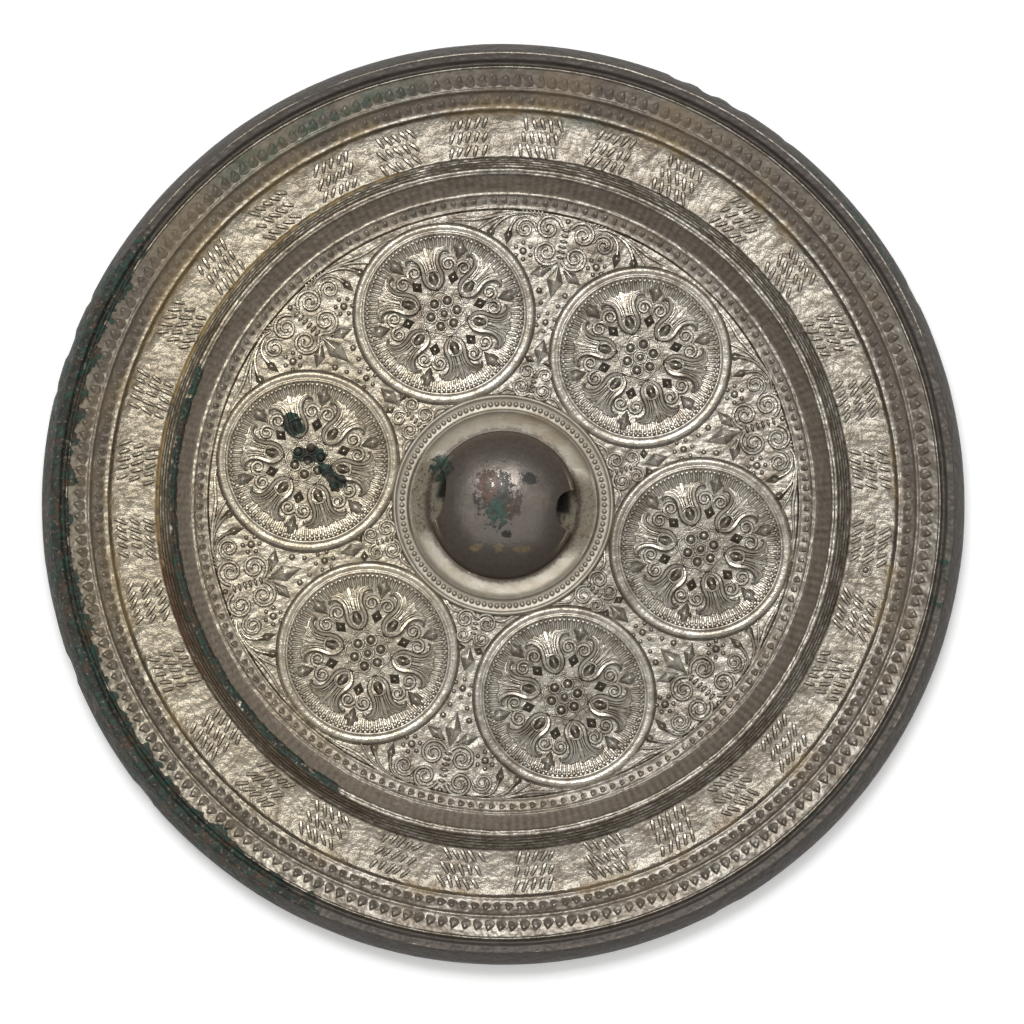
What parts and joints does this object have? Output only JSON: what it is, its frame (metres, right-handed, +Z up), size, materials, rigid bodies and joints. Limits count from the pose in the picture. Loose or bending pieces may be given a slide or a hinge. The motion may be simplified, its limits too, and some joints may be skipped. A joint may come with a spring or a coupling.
{
  "type": "bronze mirror",
  "caption": "Round ancient bronze mirror lying face down: stepped rim, stroke band, medallions and scrolls in relief round a domed knob pierced for a cord.",
  "frame": {"origin": "centre of the flat reflecting face, which lies on the ground", "axes": "+Z up out of the decorated back along the mirror's axis, +Y towards the top of the decoration as pictured, +X to the right"},
  "size_m": [0.2148, 0.2148, 0.0143],
  "materials": {
    "silvered_bronze": "worn silvery tin bronze with brown shade, black-green crust and blue-green spots on the rim and ridge"
  },
  "bodies": {
    "root": {"mirror": "silvered_bronze"}
  },
  "joints": []
}
